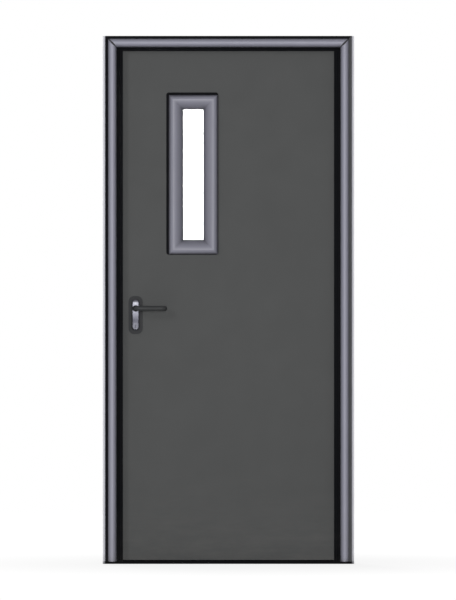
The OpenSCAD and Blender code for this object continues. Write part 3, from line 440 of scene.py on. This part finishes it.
def relief(tree, shader, height, depth):
    bump = put(tree, "ShaderNodeBump", {"Height": height, "Distance": depth, "Strength": 1.0})
    tree.links.new(bump.outputs[0], shader.inputs["Normal"])


print("coat helpers ready")

# %% [markdown]
# Painted steel is a colour coat. A single colour would look like plastic, so its tone drifts a
# little, its skin is slightly wavy, its edges are rubbed, painted shade darkens its slanted flanks
# and its corners, and near the floor it picks up dust and scuffs. One recipe serves the light
# frame, the window frame, the dark leaf and the black handle; only the numbers differ.

# %% Painted steel
# Colours of the painted shade: the first on slanted flanks, the second in corners.
SHADE_ON_FLANKS = linear(22, 22, 24)
SHADE_IN_CORNERS = linear(22, 22, 24)
RIM_PAINT = linear(206, 206, 212)
RIM_FROM = 0.4895
RIM_TO = 0.4965
DRIFT_SCALE = 3.5
RUBBED_WIDTH = 0.0016
SCUFF_HEIGHT = 0.55
GLOSS_SPREAD = 0.16


def painted(name, colour, rubbed, dusty, *, gloss, specular, grain, depth, wear,
            scuffs=0.0, corner_shading=0.0, reach=0.03, flank_shading=0.0, drift=0.10, rim=False):
    material, tree, shader = blank(name)
    coat = placed_effect(tree, mottling, Colour=colour, Scale=DRIFT_SCALE, Amount=drift)["Colour"]
    worn = placed_effect(tree, edge_wear, Width=RUBBED_WIDTH, Amount=wear)["Mask"]
    # Painted shade on slanted flanks and in corners, laid over the coat below.
    flank_dark = placed_effect(tree, flank_shade, Amount=flank_shading)["Mask"]
    corner_dark = placed_effect(tree, corner_shade, Reach=reach, Amount=corner_shading)["Mask"]
    dust = placed_effect(tree, floor_scuffs, Height=SCUFF_HEIGHT, Amount=scuffs)["Mask"]
    for mask, colour_over in ((worn, rubbed), (flank_dark, SHADE_ON_FLANKS), (corner_dark, SHADE_IN_CORNERS)):
        coat = over(tree, mask, coat, colour_over)
    if rim:
        rim_mask = placed_effect(tree, wall_rim, From=RIM_FROM, To=RIM_TO)["Mask"]
        coat = over(tree, rim_mask, coat, RIM_PAINT)
    tree.links.new(over(tree, dust, coat, dusty), shader.inputs["Base Color"])
    skin = placed_effect(tree, paint_skin, Grain=grain, Gloss=gloss, Spread=GLOSS_SPREAD)
    tree.links.new(skin["Roughness"], shader.inputs["Roughness"])
    shader.inputs["Specular IOR Level"].default_value = specular
    relief(tree, shader, skin["Height"], depth)
    return material


finishes = {
    "frame_paint": painted(
        "light_grey_frame_paint", linear(144, 144, 158), linear(164, 164, 176),
        linear(126, 124, 124), gloss=0.42, specular=0.3, grain=420.0, depth=0.00006,
        wear=0.3, scuffs=0.4, corner_shading=0.5, flank_shading=0.38, rim=True),
    "window_paint": painted(
        "light_grey_window_paint", linear(126, 126, 138), linear(152, 152, 164),
        linear(126, 124, 124), gloss=0.40, specular=0.3, grain=480.0, depth=0.00005,
        wear=0.3, corner_shading=0.6, reach=0.06, flank_shading=0.40),
    "leaf_paint": painted(
        "dark_grey_leaf_paint", linear(74, 75, 75), linear(100, 100, 102),
        linear(92, 91, 89), gloss=0.55, specular=0.12, grain=380.0, depth=0.00007,
        wear=0.45, scuffs=0.55, drift=0.12),
    "black_metal": painted(
        "black_powder_coat", linear(54, 55, 56), linear(76, 76, 78),
        linear(80, 78, 75), gloss=0.52, specular=0.14, grain=1400.0, depth=0.00004,
        wear=0.6, corner_shading=0.3, drift=0.2),
}
# The base plates carry strong painted shade along the cover plate's edge.
base_plate_paint = painted(
    "black_base_plate_coat", linear(43, 44, 46), linear(70, 70, 72),
    linear(80, 78, 75), gloss=0.52, specular=0.12, grain=1400.0, depth=0.00004,
    wear=0.4, corner_shading=0.9, reach=0.01, drift=0.2)
print("painted:", list(finishes))

# %% [markdown]
# The seals are black rubber, dull and faintly dusty in patches. The dust is only a touch lighter
# than the rubber, because the seals read as black bands around the door. The wall gasket on the
# hinge side takes a lighter grey copy of the rubber, painted light that makes that side read as
# lit, and the sealant in the joints of the frame is a grey rubber too, so the same recipe serves
# all three.

# %% Rubber
def rubber(name, colour, dusty):
    material, tree, shader = blank(name)
    tone = placed_effect(tree, mottling, Colour=colour, Scale=14.0, Amount=0.5)["Colour"]
    dust = placed_effect(tree, floor_scuffs, Height=0.35, Amount=0.35)["Mask"]
    tree.links.new(over(tree, dust, tone, dusty), shader.inputs["Base Color"])
    skin = placed_effect(tree, paint_skin, Grain=900.0, Gloss=0.72, Spread=0.2)
    tree.links.new(skin["Roughness"], shader.inputs["Roughness"])
    shader.inputs["Specular IOR Level"].default_value = 0.06
    relief(tree, shader, skin["Height"], depth=0.0001)
    return material


finishes["black_rubber"] = rubber("black_seal_rubber", linear(11, 12, 15), linear(46, 45, 44))
# A lighter copy of the black rubber: painted light for the gasket on the hinge side.
lit_side_rubber = rubber("lit_side_seal_rubber", linear(76, 77, 79), linear(92, 92, 92))
grey_sealant = rubber("grey_joint_sealant", linear(58, 58, 60), linear(70, 70, 70))
print("rubbers:", finishes["black_rubber"].name, lit_side_rubber.name, grey_sealant.name)

# %% [markdown]
# Bare metals show how they were made. The cover plate is brushed along its length, and painted
# highlight and painted reflection brighten it about the lever and the keyhole. The sill was drawn
# through a die and then anodised black, with pale ends at the wall, and small steel parts are zinc
# plated, with a faintly cloudy grey. The spots could be painted on, but as effects they find the
# lever and the keyhole by the solids' own places.

# %% Metals
def metal(name, colour, rubbed, *, stretch, contrast, gloss, depth, wear, metallic=1.0,
          specular=0.5, spots=(), rim=None):
    material, tree, shader = blank(name)
    brushed = placed_effect(tree, drawn_lines, Stretch=stretch, Contrast=contrast)
    base = placed_effect(tree, mottling, Colour=colour, Scale=22.0, Amount=0.12)["Colour"]
    # Painted highlight and painted reflection: brighter spots laid on the plate's colour.
    for middle, reach, bright in spots:
        sheen = placed_effect(tree, sheen_spot, Middle=middle, Reach=reach)["Mask"]
        base = over(tree, sheen, base, bright)
    worn = placed_effect(tree, edge_wear, Width=0.0012, Amount=wear)["Mask"]
    coat = over(tree, worn, scaled(tree, base, brushed["Tone"]), rubbed)
    if rim:
        end = placed_effect(tree, wall_rim, From=RIM_FROM, To=RIM_TO)["Mask"]
        coat = over(tree, end, coat, rim)
    tree.links.new(coat, shader.inputs["Base Color"])
    skin = placed_effect(tree, paint_skin, Grain=300.0, Gloss=gloss, Spread=0.14)
    tree.links.new(skin["Roughness"], shader.inputs["Roughness"])
    shader.inputs["Metallic"].default_value = metallic
    shader.inputs["Specular IOR Level"].default_value = specular
    relief(tree, shader, brushed["Height"], depth)
    return material


ALONG_PLATE = (900.0, 900.0, 14.0)
ALONG_SILL = (9.0, 700.0, 700.0)
NO_GRAIN = (120.0, 120.0, 120.0)
# Painted highlight just above the lever, and painted reflection about the lever and the keyhole.
HIGHLIGHT_ABOVE_LEVER = 0.021
LEVER_SPOT = 0.062
HIGHLIGHT_SPOT = 0.015
KEY_SPOT = 0.03
lever_axis = sum(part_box("spindle"), Vector()) / 2
key_axis = sum(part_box("cylinder_body"), Vector()) / 2
highlight_middle = lever_axis + Vector((0, 0, HIGHLIGHT_ABOVE_LEVER))
finishes["satin_metal"] = metal(
    "brushed_cover_steel", linear(40, 40, 45), linear(112, 113, 119), stretch=ALONG_PLATE,
    contrast=0.30, gloss=0.40, depth=0.00003, wear=0.4,
    spots=((lever_axis, LEVER_SPOT, linear(88, 88, 95)),
           (highlight_middle, HIGHLIGHT_SPOT, linear(101, 101, 106)),
           (key_axis, KEY_SPOT, linear(70, 70, 76))))
finishes["sill_metal"] = metal(
    "black_anodised_sill", linear(7, 7, 9), linear(40, 40, 42), stretch=ALONG_SILL,
    contrast=0.5, gloss=0.75, depth=0.00004, wear=0.2, metallic=0.0, specular=0.05,
    rim=linear(150, 150, 154))
cylinder_steel = metal(
    "dulled_cylinder_steel", linear(69, 69, 75), linear(130, 131, 136), stretch=NO_GRAIN,
    contrast=0.22, gloss=0.42, depth=0.00004, wear=0.4)
finishes["bare_steel"] = metal(
    "zinc_plated_steel", linear(168, 169, 174), linear(205, 206, 210), stretch=NO_GRAIN,
    contrast=0.22, gloss=0.38, depth=0.00004, wear=0.4)
print("bright spots on the plate at heights:", round(lever_axis.z, 3), round(key_axis.z, 3))

# %% [markdown]
# Clear glass lets the white room behind the door show through. An empty hole would look the same
# from straight on, but not from the side, so the pane keeps its reflections. A breath of
# unevenness in its tint and polish is all it needs; its transmission stays plain.

# %% Glass
glass, tree, shader = blank("clear_glass")
shader.inputs["Transmission Weight"].default_value = 1.0
shader.inputs["IOR"].default_value = 1.45
tint = placed_effect(tree, mottling, Colour=(0.97, 1.0, 0.985, 1.0), Scale=6.0, Amount=0.02)
tree.links.new(tint["Colour"], shader.inputs["Base Color"])
polish = placed_effect(tree, paint_skin, Grain=30.0, Gloss=0.01, Spread=0.02)
tree.links.new(polish["Roughness"], shader.inputs["Roughness"])
finishes["clear_glass"] = glass
print("finishes:", list(finishes))

# %% [markdown]
# The record of the part names a finish for every solid, so the finishes are given out by that
# list. A few solids differ from their kind: the gasket on the hinge side, lighter as painted light,
# the base plates of the handle, with strong painted shade along the cover plate's edge, and the
# cylinder, duller than the other steel.

# %% Put the finishes on the solids
OWN_FINISH = {
    # The hinge side's gasket takes painted light, and the base plates take painted shade.
    "hinge_wall_gasket": lit_side_rubber,
    "front_base_plate": base_plate_paint,
    "rear_base_plate": base_plate_paint,
    "cylinder_body": cylinder_steel,
    "cylinder_plug": cylinder_steel,
}
slots = {part["node"]: part["material_slot"] for part in frame["record"]["subparts"]}
for name, solid in nodes.items():
    solid.material_slots[0].material = OWN_FINISH.get(name, finishes[slots[name]])
print("dressed:", len(slots), "solids in", len(finishes), "finishes")

# %% [markdown]
# A bend in a solid comes as a row of narrow flat faces. Subdividing would change the shape, so a
# small geometry-nodes modifier joins the faces' corners and shades every edge smooth that turns
# less than a limit: a bend looks round and an arris stays sharp. The window frames also keep
# every edge sharp that runs slantwise, because these are the mitres in their corners.

# %% Smooth bends
SHARP_FROM = math.radians(32)
JOIN_WITHIN = 0.00001
SLANT_FROM = 0.5
MITRED = ("front_window_frame", "rear_window_frame")


def slantwise(tree):
    """True for an edge that runs neither upright nor level."""
    ends = put(tree, "GeometryNodeInputMeshEdgeVertices").outputs
    run = vectors(tree, "SUBTRACT", ends["Position 1"], ends["Position 2"])
    span = put(tree, "ShaderNodeVectorMath", {0: run}, operation="ABSOLUTE").outputs[0]
    across, up = axis_of(tree, span, "X"), axis_of(tree, span, "Z")
    less = maths(tree, "MINIMUM", across, up)
    more = maths(tree, "MAXIMUM", across, up)
    return maths(tree, "GREATER_THAN", less, times(tree, more, SLANT_FROM))


def bend_shading(name, keep_mitres):
    bends = bpy.data.node_groups.new(name, "GeometryNodeTree")
    for way in ("INPUT", "OUTPUT"):
        bends.interface.new_socket("Geometry", in_out=way, socket_type="NodeSocketGeometry")
    solid_in = bends.nodes.new("NodeGroupInput").outputs[0]
    joined = put(bends, "GeometryNodeMergeByDistance",
                 {"Geometry": solid_in, "Distance": JOIN_WITHIN}).outputs[0]
    smooth = put(bends, "GeometryNodeSetShadeSmooth",
                 {"Geometry": joined, "Shade Smooth": True}, domain="FACE").outputs[0]
    turn = put(bends, "GeometryNodeInputMeshEdgeAngle").outputs["Unsigned Angle"]
    sharp = put(bends, "FunctionNodeCompare", {0: turn, 1: SHARP_FROM}, data_type="FLOAT",
                operation="GREATER_THAN").outputs[0]
    if keep_mitres:
        sharp = put(bends, "FunctionNodeBooleanMath", {0: sharp, 1: slantwise(bends)},
                    operation="OR").outputs[0]
    creased = put(bends, "GeometryNodeSetShadeSmooth",
                  {"Geometry": smooth, "Selection": sharp, "Shade Smooth": False},
                  domain="EDGE").outputs[0]
    bends.links.new(creased, bends.nodes.new("NodeGroupOutput").inputs[0])
    return bends


usual_bends = bend_shading("smooth_bends", keep_mitres=False)
mitred_bends = bend_shading("smooth_mitred_bends", keep_mitres=True)
for name, solid in nodes.items():
    bends = mitred_bends if name in MITRED else usual_bends
    solid.modifiers.new("smooth_bends", "NODES").node_group = bends
print("smoothed:", len(nodes), "solids, with mitres kept in", MITRED)

# %% [markdown]
# Sharp solid edges catch no light. Parts that are handled or machined get a small rounded edge
# from a bevel modifier, which leaves the solid's own mesh as it is. The folded sheets have their
# bends already. A last modifier weighs the normals by area, which keeps wide flat sheets flat
# right up to their bends.

# %% Rounded edges
ROUNDED = {
    0.0012: ["front_lever", "rear_lever", "sill"],
    0.0006: ["front_cover_plate", "rear_cover_plate", "hinge_pins", "cylinder_body",
             "cylinder_plug", "latch_bolt", "dead_bolt", "lever_bushes"],
    0.0004: ["lock_forend", "strike_plate", "top_frame_hinge", "middle_frame_hinge",
             "bottom_frame_hinge", "top_leaf_hinge", "middle_leaf_hinge", "bottom_leaf_hinge",
             "front_window_gasket", "rear_window_gasket"],
}
for width, names in ROUNDED.items():
    for name in names:
        bevel = nodes[name].modifiers.new("rounded", "BEVEL")
        bevel.width = width
        bevel.segments = 3
        bevel.limit_method = "ANGLE"
        bevel.angle_limit = SHARP_FROM
        bevel.face_strength_mode = "FSTR_ALL"
for solid in nodes.values():
    weighed = solid.modifiers.new("weighed_normals", "WEIGHTED_NORMAL")
    weighed.weight = 100
    weighed.keep_sharp = True
    weighed.use_face_influence = "rounded" in solid.modifiers
print("rounded:", sum(len(names) for names in ROUNDED.values()), "solids")

# %% [markdown]
# New pieces need a mesh, a finish and a body to ride on. One function does all three, one gathers
# a mesh from simple parts, and one lays a bead of soft material along a path. A curve with a round
# profile could make the bead too, but not one that is flatter than it is wide and that widens along
# its way.

# %% Helpers for new pieces
def piece(name, mesh, body, slot):
    made = bpy.data.objects.new(name, mesh)
    scene.collection.objects.link(made)
    mesh.materials.append(finishes[slot])
    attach(made, body)
    return made


def mesh_from(name, parts, smooth=True):
    """One mesh from several (points, faces) lists."""
    points, faces = [], []
    for more_points, more_faces in parts:
        start = len(points)
        points += [tuple(p) for p in more_points]
        faces += [tuple(start + i for i in face) for face in more_faces]
    mesh = bpy.data.meshes.new(name)
    mesh.from_pydata(points, [], faces)
    mesh.validate()
    work = bmesh.new()
    work.from_mesh(mesh)
    bmesh.ops.recalc_face_normals(work, faces=work.faces)
    work.to_mesh(mesh)
    work.free()
    if smooth:
        mesh.polygons.foreach_set("use_smooth", [True] * len(mesh.polygons))
    return mesh


def bead(path, side, toward, widths, height, segments=10):
    """A bead along a path, closed at both ends: side is the way of its width, toward the way it
    bulges. Its width runs evenly from the first of the widths to the second."""
    centres = [Vector(p) for p in path]
    last = len(centres) - 1
    points, faces = [], []
    for k, centre in enumerate(centres):
        along = centres[min(k + 1, last)] - centres[max(k - 1, 0)]
        out = along.cross(side).normalized()
        if out.dot(toward) < 0:
            out.negate()
        half_width = (widths[0] + (widths[1] - widths[0]) * k / last) / 2
        for a in (2 * math.pi * n / segments for n in range(segments)):
            points.append(centre + math.cos(a) * side * half_width + math.sin(a) * out * height)
    for k in range(last):
        near, far = k * segments, (k + 1) * segments
        for n in range(segments):
            nxt = (n + 1) % segments
            faces.append((near + n, near + nxt, far + nxt, far + n))
    faces.append(tuple(range(segments)))
    faces.append(tuple(last * segments + n for n in range(segments)))
    return points, faces


FRONT = Vector((0, -1, 0))
BACK = Vector((0, 1, 0))
print("a straight bead has", len(bead([(0, 0, 0), (0, 0, 1)], BACK, FRONT, (1, 1), 1)[1]), "faces")

# %% [markdown]
# The head meets the jambs in a mitre, and the joint is run over with a bead of grey sealant. A
# groove in the solids would only show as a hairline, so the bead is a piece of its own. In front
# it widens towards the doorway and follows the crown of the faces, so its path is worked out from
# the chord and the rise of that crown.

# %% Sealant in the mitres
FACE_WIDTH = 0.043
SEAT_WIDTH = 0.011
CROWN_RISE = 0.012
REAR_WIDTH = 0.0465
BEAD_WIDTHS = (0.003, 0.0105)
REAR_BEAD_WIDTHS = (0.003, 0.003)
BEAD_HEIGHT = 0.0013
BEAD_STEPS = 20
BEAD_INSET = 0.0004
REAR_START = 0.0025
head_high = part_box("head")[1]
chord = FACE_WIDTH - SEAT_WIDTH
crown_radius = (chord ** 2 / 4 + CROWN_RISE ** 2) / (2 * CROWN_RISE)


def crown_y(depth):
    off = depth - SEAT_WIDTH - chord / 2
    return front_y + crown_radius - math.sqrt(crown_radius ** 2 - off ** 2)


front_depths = [SEAT_WIDTH + BEAD_INSET + (chord - 2 * BEAD_INSET) * k / BEAD_STEPS
                for k in range(BEAD_STEPS + 1)]
rear_depths = (REAR_START, REAR_WIDTH / 2, REAR_WIDTH - BEAD_INSET)
beads = []
for hand in (-1, 1):
    across = Vector((hand, 0, -1)).normalized()
    front_path = [(hand * (head_high.x - d), crown_y(d), head_high.z - d) for d in front_depths]
    rear_path = [(hand * (head_high.x - d), head_high.y, head_high.z - d) for d in rear_depths]
    beads.append(bead(front_path, across, FRONT, BEAD_WIDTHS, BEAD_HEIGHT))
    beads.append(bead(rear_path, across, BACK, REAR_BEAD_WIDTHS, BEAD_HEIGHT / 2))
sealant = piece("mitre_sealant", mesh_from("mitre_sealant", beads), "frame", "black_rubber")
sealant.material_slots[0].material = grey_sealant
print("mitre beads:", len(beads))

# %% [markdown]
# The stop seals are extruded rubber with ribs along the face that shows. A bump could fake them,
# but not at the edge of the seal, so each rib is a half-round bead, sunk to its middle in the seal.

# %% Ribs on the stop seals
RIB_RADIUS = 0.0011
RIB_WIDTHS = (2 * RIB_RADIUS, 2 * RIB_RADIUS)
RIB_INSET = 0.0005
JAMB_RIBS = 3
HEAD_RIBS = 2
SIDEWAYS = Vector((1, 0, 0))
UPRIGHT = Vector((0, 0, 1))
seal_low, seal_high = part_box("lock_stop_seal")
top_low, top_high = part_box("head_stop_seal")
ribs = []
for hand in (-1, 1):
    for k in range(JAMB_RIBS):
        in_from_edge = (seal_high.x - seal_low.x) * (k + 1) / (JAMB_RIBS + 1)
        x = hand * (abs(seal_low.x) - in_from_edge)
        path = [(x, seal_low.y, seal_low.z + RIB_INSET), (x, seal_low.y, seal_high.z - RIB_INSET)]
        ribs.append(bead(path, SIDEWAYS, FRONT, RIB_WIDTHS, RIB_RADIUS))
for k in range(HEAD_RIBS):
    z = top_high.z - (top_high.z - top_low.z) * (k + 1) / (HEAD_RIBS + 1)
    between = top_high.x if z > seal_high.z else abs(seal_high.x)
    reach = between - 2 * RIB_INSET
    path = [(-reach, top_low.y, z), (reach, top_low.y, z)]
    ribs.append(bead(path, UPRIGHT, FRONT, RIB_WIDTHS, RIB_RADIUS))
piece("seal_ribs", mesh_from("seal_ribs", ribs), "frame", "black_rubber")
print("ribs:", len(ribs))

# %% [markdown]
# The screws have hexagon sockets, too small for the solids to carry. A screw is drawn as a turned
# profile, and its socket as a hexagon let into the head; cutting the socket out of a cylinder
# would leave ragged faces. Where each screw sits is read from the solid that it stands for: every
# loose part of that node has a box, and the box's middle gives the axis.

# %% Helpers for screws
SHANK_END = -9.0


def loose_boxes(name):
    """Low and high corners of every separate solid in a node."""
    work = bmesh.new()
    work.from_mesh(nodes[name].data)
    bmesh.ops.remove_doubles(work, verts=work.verts, dist=JOIN_WITHIN)
    left = set(work.verts)
    boxes = []
    while left:
        queue = [left.pop()]
        group = []
        while queue:
            vert = queue.pop()
            group.append(vert.co.copy())
            for link in vert.link_edges:
                other = link.other_vert(vert)
                if other in left:
                    left.remove(other)
                    queue.append(other)
        low = Vector([min(p[i] for p in group) for i in range(3)])
        high = Vector([max(p[i] for p in group) for i in range(3)])
        boxes.append((low, high))
    work.free()
    return sorted(boxes, key=lambda b: (round(b[0].z, 4), round(b[0].x, 4)))


def screw(profile, socket_radius, socket_depth, around=24):
    """A screw along +Z with its top at the profile's last point, as (points, faces)."""
    points, faces = [(0.0, 0.0, profile[0][1])], []
    angles = [2 * math.pi * k / around for k in range(around)]
    rows = []
    for radius, z in profile:
        rows.append([len(points) + k for k in range(around)])
        points += [(radius * math.cos(a), radius * math.sin(a), z) for a in angles]
    top = profile[-1][1]
    for z in (top, top - socket_depth):
        rows.append([len(points) + k for k in range(around)])
        for a in angles:
            inside = (a % (math.pi / 3)) - math.pi / 6
            radius = socket_radius * math.cos(math.pi / 6) / math.cos(inside)
            points.append((radius * math.cos(a), radius * math.sin(a), z))
    for k in range(around):
        nxt = (k + 1) % around
        faces.append((0, rows[0][nxt], rows[0][k]))
        for low, high in zip(rows, rows[1:]):
            faces.append((low[k], low[nxt], high[nxt], high[k]))
    faces.append(tuple(rows[-1]))
    return points, faces


def screws(name, node, body, axis, profile, socket_radius, socket_depth):
    """Replaces a node of screws; axis points from the shank to the head."""
    parts = []
    way = Vector(axis)
    turned = way.to_track_quat("Z", "Y").to_matrix().to_4x4()
    for low, high in loose_boxes(node):
        long = abs((high - low).dot(way))
        to_place = Matrix.Translation((low + high) / 2 + way * long / 2) @ turned
        shape = [(r, -long if z == SHANK_END else z) for r, z in profile]
        points, faces = screw(shape, socket_radius, socket_depth)
        parts.append(([to_place @ Vector(p) for p in points], faces))
    made = piece(name, mesh_from(name, parts, smooth=False), body, "bare_steel")
    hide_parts(node)
    print(name, len(parts))


print("screw points:", len(screw([(1, 0), (1, 1)], 0.5, 0.5)[0]))

# %% [markdown]
# Each profile lists radius and height from the shank's end up to the top of the head. Hinges,
# strike and forend have countersunk heads that lie flush with their plates. The window frame on
# the pull side has low domed heads that stand on it.

# %% Screws with sockets
FLUSH = [(0.0023, SHANK_END), (0.0025, -0.003), (0.0025, -0.0017), (0.0042, -0.0002),
         (0.0041, 0.0)]
SMALL = [(0.0023, SHANK_END), (0.0025, -0.002), (0.0025, -0.0015), (0.0038, -0.0002),
         (0.0037, 0.0)]
WIDE = [(0.0023, SHANK_END), (0.0025, -0.003), (0.0025, -0.0019), (0.0044, -0.0002),
        (0.0043, 0.0)]
DOME = [(0.0018, SHANK_END), (0.002, -0.004), (0.002, -0.0025), (0.0039, -0.0025),
        (0.004, -0.0021), (0.0038, -0.0011), (0.0033, -0.0004), (0.0026, 0.0)]
SCREW_SETS = (
    ("frame_hinge_socket_screws", "frame_hinge_screws", "frame", (-1, 0, 0), FLUSH, 0.0017, 0.0016),
    ("leaf_hinge_socket_screws", "leaf_hinge_screws", "leaf", (1, 0, 0), FLUSH, 0.0017, 0.0016),
    ("strike_socket_screws", "strike_screws", "frame", (1, 0, 0), SMALL, 0.0016, 0.0014),
    ("forend_socket_screws", "forend_screws", "leaf", (-1, 0, 0), WIDE, 0.0017, 0.0016),
    ("window_socket_screws", "window_screws", "leaf", (0, 1, 0), DOME, 0.0015, 0.0014),
)
for screw_set in SCREW_SETS:
    screws(*screw_set)
